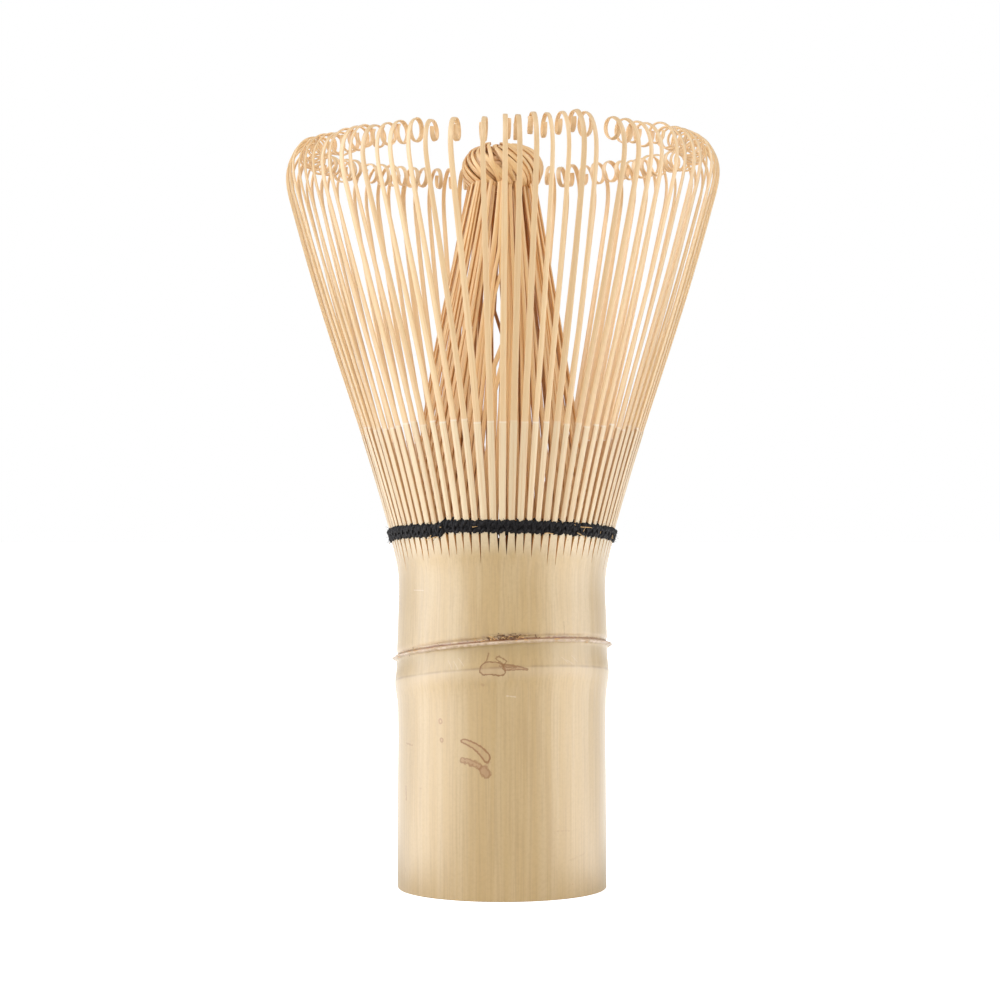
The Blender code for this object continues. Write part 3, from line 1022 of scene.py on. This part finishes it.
def tine_stations(azimuth, rng):
    """Stations of one outer tine, from under the thread to the end of its curl."""
    tip_turn = crowding(from_front(azimuth)) + math.radians(rng.uniform(-0.3, 0.3))
    foot_z = THREAD_Z + lift(azimuth, THREAD_LIFT) - 0.5 * MM
    knee_z = SCRAPE_Z + lift(azimuth, 1.2 * MM) + rng.uniform(-0.4, 0.4) * MM
    lean = LEAN + math.radians(rng.uniform(-0.3, 0.3))
    curl = curl_path(lean, math.radians(rng.uniform(385, 425)), LOOP_R * rng.uniform(0.9, 1.1))
    tallest = 0.75 * bump(math.degrees(from_front(azimuth)), 20.0, 13.0) * MM
    top_z = TINE_TOP_Z - 0.12 * MM + lift(azimuth, 0.12 * MM, 0.42 * MM) + tallest
    top_z += rng.uniform(-0.25, 0.12) * MM
    bend_z = top_z - max(rise for _, rise, _ in curl)
    side_drift = rng.choice((-1, 1)) * rng.uniform(0.25, 0.6) * MM
    wave = rng.uniform(-0.1, 0.1) * MM
    steps = STRAIGHT_ROWS - 4
    heights = [foot_z + (bend_z - foot_z) * row / steps for row in range(steps + 1)]
    heights = sorted(heights + [knee_z - 0.2 * MM, knee_z, knee_z + 0.2 * MM])
    line = []
    for z in heights:
        share = (z - foot_z) / (bend_z - foot_z)
        bow = wave * math.sin(math.pi * share) - 0.18 * MM * math.sin(2 * math.pi * share)
        climbed = z - THREAD_Z - lift(azimuth, THREAD_LIFT) * (1 - share)
        radius = TINE_FOOT_R + climbed * math.tan(lean) + bow
        spread = ((z - foot_z) / (top_z - foot_z)) ** 1.2
        line.append((radius, z, azimuth + tip_turn * spread, 0.0))
    radius, z, around, _ = line[-1]
    for outward, upward, turned in curl:
        if turned < math.pi / 2:
            around = azimuth + tip_turn * ((z + upward - foot_z) / (top_z - foot_z)) ** 1.2
        drift = side_drift * smooth_step(turned, 1.6, 7.0)
        line.append((radius + outward, z + upward, around, drift))
    return dress_line(line, knee_z, rng.uniform(0.86, 1.12), rng.uniform(-0.3, 0.3))


def dress_line(line, knee_z, wide, twist):
    """Turns (radius, height, azimuth, sideways) into stations with width and thickness."""
    count = len(line)
    stations = []
    for row, (radius, z, azimuth, sideways) in enumerate(line):
        out = outward_at(azimuth)
        side = along_ring(out)
        place = out * radius + side * sideways + UP * z
        before = line[max(row - 1, 0)]
        after = line[min(row + 1, count - 1)]
        rise = Vector((after[0] - before[0], after[1] - before[1])).normalized()
        outward = out * rise.y - UP * rise.x
        share = row / (count - 1)
        outward = outward + side * twist * smooth_step(share, 0.1, 0.4)
        scraped = 0.0 if z < knee_z - 0.1 * MM and row < STRAIGHT_ROWS else 1.0
        if abs(z - knee_z) < 0.01 * MM and row < STRAIGHT_ROWS:
            scraped = 0.5
        grow = smooth_step(z, 50.0 * MM, 58.0 * MM)
        unscraped_width = (0.84 + 0.10 * grow) * MM
        scraped_width = (0.84 - 0.22 * smooth_step(share, 0.12, 0.5)) * MM
        width = unscraped_width + (scraped_width - unscraped_width) * scraped
        thin = (0.40 - 0.15 * smooth_step(share, 0.2, 0.5)) * MM
        thick = 0.5 * MM + (thin - 0.5 * MM) * scraped
        stations.append((place, outward.normalized(), width * wide, thick, scraped))
    return stations


# %% Outer combs
def model_outer_combs():
    rng = random.Random(29)
    combs = []
    for comb_index in range(COMBS):
        strips = []
        middle = FRONT + comb_index * COMB_ANGLE
        for tine_index in range(TINES_PER_COMB):
            azimuth = middle + (tine_index - (TINES_PER_COMB - 1) / 2) * TINE_ANGLE
            stations = tine_stations(azimuth, rng)
            strips.append(lay_strip("outer_tine", stations, rng.random()))
        comb = joined(strips, f"tines_outer_{comb_index + 1:02d}")
        rounded_shading(comb, 50)
        finish_piece(comb, OUTER_BAMBOO)
        combs.append(comb)
    return combs


def bend_with_joint(comb, comb_index):
    """Hides the frame's comb of the same number and puts this comb's place into its mesh."""
    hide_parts(f"outer_tines_{comb_index + 1:02d}")
    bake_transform(comb)


outer_combs = model_outer_combs()
for index, comb in enumerate(outer_combs):
    bend_with_joint(comb, index)
print("outer combs:", len(outer_combs), "faces each:", len(outer_combs[0].data.polygons))

# %% [markdown]
# ## Inner tines
# The inner tines are thinner. They lean inward from behind the thread, gather in loose bundles
# and pass into the knot. They don't run straight to it: the knot was wound, so each bundle is
# turned a little about the axis, which crosses its strips and leaves dark gaps between them.

# %% Inner combs
INNER_FOOT_R = 13.1 * MM
INNER_ROWS = 16
GATHER_R = 4.5 * MM
GATHER_Z = KNOT_LOW.z + 1.5 * MM


def bundle_turn(azimuth):
    """How far a bundle is wound about the axis at its top: furthest at the front left."""
    turn = math.degrees(from_front(azimuth))
    left = smooth_step(-turn, 4.0, 24.0) * (1 - smooth_step(-turn, 100.0, 140.0))
    return 9.0 + 18.0 * left


def inner_stations(azimuth, winding, in_front, rng):
    """Stations of one inner tine, from behind the thread to inside the knot."""
    foot_z = THREAD_Z + lift(azimuth, THREAD_LIFT) - 0.9 * MM
    top_turn = winding + math.radians(rng.uniform(-2.5, 2.5))
    top_r = GATHER_R + (0.35 * in_front + rng.uniform(-1.0, 0.2)) * MM
    bow = (0.5 * in_front + rng.uniform(0.0, 0.5)) * MM
    width = rng.uniform(0.50, 0.66) * MM
    stations = []
    for row in range(INNER_ROWS):
        share = row / (INNER_ROWS - 1)
        radius = INNER_FOOT_R + (top_r - INNER_FOOT_R) * share + bow * math.sin(math.pi * share)
        around = azimuth + top_turn * share ** 1.2
        z = foot_z + (GATHER_Z - foot_z) * share
        out = outward_at(around)
        place = out * radius + UP * z
        beside = place.x + 0.6 * MM
        parted = 0.6 * MM * bump(z / MM, 77.0, 9.0) * math.exp(-abs(beside) / (1.6 * MM))
        place.x += math.copysign(parted, beside)
        widening = 0.85 + 0.65 * (1 - share) ** 2
        stations.append((place, out + UP * 0.18, width * widening, 0.32 * MM, 1.0))
    return stations


def model_inner_combs():
    rng = random.Random(5)
    combs = []
    for comb_index in range(COMBS):
        strips = []
        middle = FRONT + comb_index * COMB_ANGLE
        winding = math.radians(bundle_turn(middle) + rng.uniform(-3, 3))
        in_front = smooth_step(-math.degrees(from_front(middle)), 4.0, 20.0)
        for tine_index in range(TINES_PER_COMB):
            off = (tine_index - (TINES_PER_COMB - 1) / 2) * TINE_ANGLE
            gather = -0.35 * off
            stations = inner_stations(middle + off, winding + gather, in_front, rng)
            strips.append(lay_strip("inner_tine", stations, rng.random()))
        comb = joined(strips, f"tines_inner_{comb_index + 1:02d}")
        rounded_shading(comb, 50)
        finish_piece(comb, INNER_BAMBOO)
        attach(comb, "culm")
        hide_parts(f"inner_tines_{comb_index + 1:02d}")
        combs.append(comb)
    return combs


inner_combs = model_inner_combs()
print("inner combs:", len(inner_combs))

# %% [markdown]
# ## The knot
# The ends of the inner tines are wound round each other into a ball like a bun. Each strip
# climbs round the bun from its neck to its crown, leaning as it goes. Two layers of them cover
# a core painted dark as the shade inside the knot, a few bands are wound level about the neck,
# and some cut ends stick out.

# %% Knot
KNOT_CENTRE = Vector((0.0, 0.0, (KNOT_LOW.z + KNOT_HIGH.z) / 2))
KNOT_R = 5.25 * MM
KNOT_HALF = 3.35 * MM
WIND = math.radians(-80)


def bun_point(azimuth, climb, out):
    """A point on the bun: climb runs from -90 degrees at the neck to 90 at the crown."""
    radius = KNOT_R * math.cos(climb) ** 0.75 + out
    height = KNOT_HALF * math.sin(climb) + out * math.sin(climb)
    return KNOT_CENTRE + ring_point(radius, azimuth, height)


def bun_strip(azimuth, low, high, out, width, wind, rng):
    """A strip laid over the bun between two climbs, wound round it by the angle wind."""
    rows = 18
    wobble = rng.uniform(-0.1, 0.1)
    roll = rng.uniform(-0.35, 0.35)
    stations = []
    for row in range(rows):
        share = row / (rows - 1)
        climb = math.radians(low + (high - low) * share)
        around = azimuth + wind * share + wobble * math.sin(2 * math.pi * share)
        lifted = out + 0.3 * MM * math.sin(math.pi * share)
        place = bun_point(around, climb, lifted)
        outward = (place - KNOT_CENTRE).normalized()
        side = along_ring(outward)
        narrow = 0.6 + 0.4 * math.sin(math.pi * min(max(share, 0.12), 0.88))
        stations.append((place, outward + side * roll, width * narrow, 0.3 * MM, 1.0))
    return lay_strip("knot_strip", stations, rng.random())


def model_knot():
    rng = random.Random(17)
    strips = []
    for index in range(9):
        climb = -60 + 13 * index
        start = rng.uniform(0, 2 * math.pi)
        wind = math.radians(-330)
        strips.append(bun_strip(start, climb, climb + 16, -0.75 * MM, 0.8 * MM, wind, rng))
    layers = ((30, -0.35 * MM, 0.74 * MM), (34, 0.02 * MM, 0.62 * MM))
    for layer, (count, out, width) in enumerate(layers):
        for index in range(count):
            azimuth = 2 * math.pi * (index + 0.5 * layer) / count + rng.uniform(-0.07, 0.07)
            if layer == 1 and rng.random() < 0.14:
                continue
            spread = rng.uniform(-0.15, 0.18) * MM
            low = rng.uniform(-80, -68)
            high = rng.uniform(60, 86)
            wind = WIND * rng.uniform(0.85, 1.2)
            wide = width * rng.uniform(0.85, 1.15)
            strips.append(bun_strip(azimuth, low, high, out + spread, wide, wind, rng))
    for index in range(6):
        azimuth = rng.uniform(0, 2 * math.pi)
        climb = -70 + 4 * index
        wind = math.radians(260)
        strips.append(bun_strip(azimuth, climb, climb + 8, -0.2 * MM, 0.55 * MM, wind, rng))
    stray = ((-6, -38, 70), (2, -30, 60), (20, -34, 50), (130, -35, 60), (-110, -30, 60))
    for turn, low, high in stray:
        azimuth = FRONT + math.radians(turn)
        wind = math.radians(-34)
        strips.append(bun_strip(azimuth, low, high, 0.32 * MM, 0.6 * MM, wind, rng))
    return joined(strips, "knot_of_tine_ends")


def model_knot_core():
    deselect()
    bpy.ops.mesh.primitive_uv_sphere_add(segments=40, ring_count=24, radius=1.0, location=KNOT_CENTRE)
    core = bpy.context.object
    core.scale = (KNOT_R - 0.9 * MM, KNOT_R - 0.9 * MM, KNOT_HALF - 0.5 * MM)
    settle(core)
    for vertex in core.data.vertices:
        off = vertex.co - KNOT_CENTRE
        vertex.co = KNOT_CENTRE + off * (1 + 0.07 * noise.noise(vertex.co * 700.0))
    core.name = "knot_core"
    return core


# Painted shade: the core under the knot's strips is dark brown, standing for the shade between them.
def knot_core_shade_material():
    made, tree, shader = new_material("knot core shade", 0.7)
    place = object_place(tree)
    streaks = noise_texture(tree, place, 900.0)
    colour = tint(tree, streaks, (0.40, 0.17, 0.05), (0.66, 0.36, 0.13))
    connect(tree, (colour, shader.inputs["Base Color"]))
    add_relief(tree, shader, streaks, 0.5, 0.0001)
    return made


knot = model_knot()
rounded_shading(knot, 50)
finish_piece(knot, INNER_BAMBOO)
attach(knot, "culm")
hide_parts("centre_knot")
knot_core = finish_piece(model_knot_core(), knot_core_shade_material())
rounded_shading(knot_core)
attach(knot_core, "culm")
print("knot:", len(knot.data.polygons), "faces")

# %% [markdown]
# ## The binding thread
# The thread is a two-ply cord. It runs round the whisk twice, one row above the other, dipping
# between the tines, and at every gap a short bight passes over both rows and into the gap. Each
# ply is a curve with a round bevel that winds about the cord's own line.

# %% Thread rows
PLY_R = 0.24 * MM
PLY_TURN = 1.7 * MM
ROW_RISE = 0.44 * MM
THREAD_FACE_R = 15.38 * MM
STEP_AT = math.radians(-31.5)


def thread_height(azimuth):
    """Middle height of the binding: it climbs to the front and has one step left of it."""
    turn = from_front(azimuth)
    off = turn - STEP_AT
    step = 0.36 * MM * math.exp(-abs(off) / 0.3) * math.tanh(off / 0.035)
    return THREAD_Z + lift(azimuth, THREAD_LIFT) + step


def cord_line(azimuth, rise):
    """A point on one row of thread: over each tine, dipping in the gap between two."""
    phase = (from_front(azimuth) / TINE_ANGLE) * 2 * math.pi
    radius = THREAD_FACE_R + 0.3 * rise + 0.15 * MM * math.cos(phase)
    z = thread_height(azimuth) + rise + 0.06 * MM * math.sin(phase + 400 * rise)
    return ring_point(radius, azimuth, z)


def tube(name, points, radius, closed=False):
    """A round tube through points, as a mesh."""
    curve = bpy.data.curves.new(name, "CURVE")
    curve.dimensions = "3D"
    curve.bevel_depth = radius
    curve.bevel_resolution = 1
    curve.use_fill_caps = not closed
    spline = curve.splines.new("POLY")
    spline.points.add(len(points) - 1)
    spline.use_cyclic_u = closed
    for target, place in zip(spline.points, points):
        target.co = (*place, 1.0)
    made = bpy.data.objects.new(name, curve)
    bpy.context.scene.collection.objects.link(made)
    return as_mesh(made)


def ply(rise, phase):
    """One ply of one row: a helix about the cord's line, all the way round."""
    count = TINES * 10
    turns = round(2 * math.pi * THREAD_FACE_R / PLY_TURN)
    points = []
    for index in range(count):
        azimuth = FRONT + 2 * math.pi * index / count
        out = outward_at(azimuth)
        wind = 2 * math.pi * turns * index / count + phase
        offset = out * math.cos(wind) * PLY_R + UP * (math.sin(wind) * PLY_R)
        points.append(cord_line(azimuth, rise) + offset)
    return tube("ply", points, PLY_R * 1.15, closed=True)


def inner_turn(rise):
    """A plain turn of thread under the plies, which fills the hollows between them."""
    points = []
    for index in range(240):
        azimuth = FRONT + 2 * math.pi * index / 240
        radius = THREAD_FACE_R - 0.12 * MM + 0.3 * rise
        z = thread_height(azimuth) + rise
        points.append(ring_point(radius, azimuth, z))
    return tube("turn", points, 0.46 * MM, closed=True)


def bight(azimuth, way, rng):
    """A short slanting loop over both rows, its ends tucked into the gap between two tines."""
    z = thread_height(azimuth)
    half = rng.uniform(0.95, 1.15) * MM
    slant = way * rng.uniform(0.22, 0.42) * MM
    out = outward_at(azimuth)
    side = along_ring(out)
    points = []
    for row in range(13):
        angle = math.pi * (row / 12 - 0.5) * 1.25
        radius = THREAD_FACE_R - 0.62 * MM + 1.02 * MM * math.cos(angle) + 0.3 * half * math.sin(angle)
        place = out * radius + side * slant * math.sin(angle)
        points.append(place + UP * (z + half * math.sin(angle)))
    return tube("bight", points, 0.2 * MM)


def model_thread():
    rng = random.Random(3)
    pieces = []
    for rise in (-ROW_RISE, 0.0, ROW_RISE):
        pieces.append(inner_turn(rise))
        for phase in (0.0, math.pi) if rise else ():
            pieces.append(ply(rise, phase))
    for index in range(TINES):
        for way in (-1, 1):
            off = math.radians(rng.uniform(-0.35, 0.35) + 0.25 * way)
            pieces.append(bight(FRONT + (index + 0.5) * TINE_ANGLE + off, way, rng))
    return joined(pieces, "thread_binding")


def thread_material():
    made, tree, shader = new_material("black thread", 0.65, Sheen_Weight=0.03, Specular_IOR_Level=0.16)
    place = object_place(tree)
    fibres = noise_texture(tree, place, 4200.0, 3.0)
    worn = between(tree, fibres, 0.4, 0.7)
    colour = tint(tree, worn, (0.002, 0.0015, 0.0015), (0.018, 0.0145, 0.015))
    connect(tree, (colour, shader.inputs["Base Color"]))
    add_relief(tree, shader, fibres, 0.6, 0.00006)
    return made


thread = model_thread()
rounded_shading(thread, 60)
finish_piece(thread, thread_material())
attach(thread, "culm")
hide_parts("binding_thread")
print("thread:", len(thread.data.polygons), "faces")

# %% [markdown]
# ## Loose fibres
# Splitting and scraping leave whiskers: a few pale bamboo fibres caught in the thread and lifted
# from the splits, and short dark hairs on the thread itself.

# %% Fibres
def hair(start, direction, length, radius, rng, curl):
    """One fine fibre from start, bending a little as it goes."""
    points = [start]
    heading = direction.normalized()
    for row in range(6):
        heading = (heading + Vector([rng.uniform(-curl, curl) for _ in range(3)])).normalized()
        points.append(points[-1] + heading * length / 6)
    return tube("hair", points, radius)


def model_bamboo_fibres():
    rng = random.Random(8)
    fibres = []
    spots = [
        (-41.0, -1.2, 1.4),
        (-37.5, -1.1, 1.2),
        (38.0, 0.6, 2.6),
        (40.0, -0.5, 1.6),
        (44.0, -0.3, 1.5),
        (21.0, -0.8, 1.2),
    ]
    for _ in range(10):
        spots.append((rng.uniform(-180, 180), rng.uniform(-0.8, 0.8), rng.uniform(0.5, 1.1)))
    for turn, rise, length in spots:
        azimuth = FRONT + math.radians(turn)
        out = outward_at(azimuth)
        start = out * (THREAD_FACE_R + 0.45 * MM) + UP * (thread_height(azimuth) + rise * MM)
        side = along_ring(out, rng.uniform(-1.2, 1.2))
        fibres.append(hair(start, side + out * 0.12, length * MM, 0.05 * MM, rng, 0.25))
    return joined(fibres, "bamboo_fibres")


def scar_fibre(turn, rise, length, radius, rng):
    """A fibre of the old sheath, lying on the culm just above the scar."""
    azimuth = FRONT + math.radians(turn)
    out = outward_at(azimuth)
    z = SCAR_Z * MM + lift(azimuth, SCAR_LIFT[0] * MM, SCAR_LIFT[1] * MM) + rise
    start = out * (CULM_R + rng.uniform(-0.02, 0.16) * MM) + UP * z
    side = along_ring(out, rng.uniform(-0.8, 0.8))
    return hair(start, side * rng.choice((-1, 1)) + out * 0.06, length, radius, rng, 0.32)


def model_scar_fibres():
    """The tuft of torn sheath at the front of the scar: dark fibres and a few pale ones."""
    rng = random.Random(31)
    dark = []
    pale = []
    for _ in range(120):
        turn = rng.gauss(1.8, 7.0)
        rise = rng.uniform(-0.05, 0.95) * MM * math.exp(-((turn - 1.5) / 9) ** 2)
        fibre = scar_fibre(turn, rise, rng.uniform(0.3, 0.9) * MM, rng.uniform(0.025, 0.055) * MM, rng)
        (pale if rng.random() < 0.3 else dark).append(fibre)
    for _ in range(70):
        turn = rng.uniform(-80, 60)
        fibre = scar_fibre(turn, rng.uniform(-0.05, 0.1) * MM, rng.uniform(0.4, 0.9) * MM, 0.022 * MM, rng)
        (pale if rng.random() < 0.45 else dark).append(fibre)
    return joined(dark, "scar_fibres_dark"), joined(pale, "scar_fibres_pale")


def model_thread_fuzz():
    rng = random.Random(21)
    hairs = []
    for _ in range(160):
        azimuth = rng.uniform(0, 2 * math.pi)
        out = outward_at(azimuth)
        rise = rng.uniform(-1.0, 1.0)
        start = out * (THREAD_FACE_R + 0.35 * MM) + UP * (thread_height(azimuth) + rise * MM)
        side = along_ring(out) * rng.uniform(-1, 1) + UP * rise
        hairs.append(hair(start, side + out * 0.8, rng.uniform(0.4, 0.9) * MM, 0.014 * MM, rng, 0.5))
    return joined(hairs, "thread_fuzz")


bamboo_fibres = finish_piece(model_bamboo_fibres(), CUT_BAMBOO)
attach(bamboo_fibres, "culm")
sheath_brown = new_material("old sheath", 0.8)[0]
sheath_brown.node_tree.nodes["Principled BSDF"].inputs["Base Color"].default_value = (0.17, 0.08, 0.03, 1.0)
dark_fibres, pale_fibres = model_scar_fibres()
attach(finish_piece(dark_fibres, sheath_brown), "culm")
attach(finish_piece(pale_fibres, CUT_BAMBOO), "culm")
thread_fuzz = finish_piece(model_thread_fuzz(), thread.data.materials[0])
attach(thread_fuzz, "culm")
for blank in BLANKS.values():
    bpy.data.objects.remove(blank)
print("fibres and fuzz made")

# %% [markdown]
# ## Studio
# A pale table and a white room. Two tall soft lights stand level with the whisk, one on each
# side, and draw the long bright bands on the culm. The camera looks level from the front.

# %% Floor, light and camera
def make_floor():
    """A pale table, seen as plain white; for glossy rays it glows under the side panels, a painted light
    that shines in the culm's gloss.
    """
    deselect()
    bpy.ops.mesh.primitive_plane_add(size=6.0, location=(0.0, 0.0, 0.0))
    floor = bpy.context.object
    floor.name = "table_top"
    made, tree, shader = new_material("pale table", 0.9)
    shader.inputs["Base Color"].default_value = (0.85, 0.85, 0.85, 1.0)
    shader.inputs["Emission Color"].default_value = (1.0, 1.0, 1.0, 1.0)
    parts = node(tree, "ShaderNodeSeparateXYZ")
    connect(tree, (object_place(tree), parts.inputs[0]))
    aside = math_node(tree, "ABSOLUTE", parts.outputs[0])
    ahead = math_node(tree, "MULTIPLY_ADD", aside, 0.25, parts.outputs[1])
    slope = math_node(tree, "DIVIDE", math_node(tree, "ABSOLUTE", ahead), aside)
    # Painted reflection: the table glows for glossy rays in the bands under the side panels.
    under_panels = between(tree, slope, 0.35, 0.75, 3.5, 0.9)
    under_panels = times(tree, under_panels, between(tree, aside, 0.018, 0.05))
    ray = node(tree, "ShaderNodeLightPath")
    glow = math_node(tree, "MULTIPLY_ADD", ray.outputs["Is Camera Ray"], 0.8, 0.1)
    glow = math_node(tree, "MULTIPLY_ADD", ray.outputs["Is Glossy Ray"], under_panels, glow)
    connect(tree, (glow, shader.inputs["Emission Strength"]))
    floor.data.materials.append(made)


def make_room(strength):
    """White walls all round, dimmer as a light than they look."""
    world = bpy.data.worlds.new("white room")
    bpy.context.scene.world = world
    world.use_nodes = True
    tree = world.node_tree
    tree.nodes.clear()
    seen = node(tree, "ShaderNodeBackground")
    lit = node(tree, "ShaderNodeBackground")
    seen.inputs["Color"].default_value = (1.0, 1.0, 1.0, 1.0)
    lit.inputs["Color"].default_value = (1.0, 1.0, 1.0, 1.0)
    seen.inputs["Strength"].default_value = 1.0
    lit.inputs["Strength"].default_value = strength
    ray = node(tree, "ShaderNodeLightPath")
    either = node(tree, "ShaderNodeMixShader")
    out = node(tree, "ShaderNodeOutputWorld")
    connect(
        tree,
        (ray.outputs["Is Camera Ray"], either.inputs[0]),
        (lit.outputs[0], either.inputs[1]),
        (seen.outputs[0], either.inputs[2]),
        (either.outputs[0], out.inputs[0]),
    )


def soft_light(name, place, size, brightness, gloss_only=False):
    """A soft panel facing the whisk, of this brightness on its face."""
    data = bpy.data.lights.new(name, "AREA")
    data.shape = "RECTANGLE"
    data.size = size[0]
    data.size_y = size[1]
    data.energy = brightness * math.pi * size[0] * size[1]
    lamp = bpy.data.objects.new(name, data)
    bpy.context.scene.collection.objects.link(lamp)
    lamp.location = place
    aim = Vector((0.0, 0.0, 55.0 * MM)) - Vector(place)
    lamp.rotation_euler = aim.to_track_quat("-Z", "Y").to_euler()
    lamp.visible_diffuse = not gloss_only
    if gloss_only:
        data.color = (0.86, 1.0, 1.18)


def make_camera():
    data = bpy.data.cameras.new("camera")
    data.sensor_width = 36.0
    data.lens = 97.2
    camera = bpy.data.objects.new("camera", data)
    bpy.context.scene.collection.objects.link(camera)
    camera.location = (-0.30 * MM, -378.0 * MM, 54.15 * MM)
    camera.rotation_euler = (math.pi / 2, 0.0, 0.0)
    bpy.context.scene.camera = camera


make_floor()
make_room(0.60)
soft_light("left panel", (-0.62, 0.0, 0.12), (0.95, 1.2), 0.38)
soft_light("right panel", (0.62, 0.0, 0.12), (0.95, 1.2), 0.08)
soft_light("left gloss", (-0.62, -0.18, 0.05), (0.85, 3.0), 3.0, gloss_only=True)
soft_light("right gloss", (0.64, -0.10, 0.05), (0.70, 3.0), 2.4, gloss_only=True)
soft_light("front light", (-0.1, -0.62, 0.72), (0.5, 0.4), 3.9)
make_camera()
bpy.context.scene.view_settings.view_transform = "Standard"
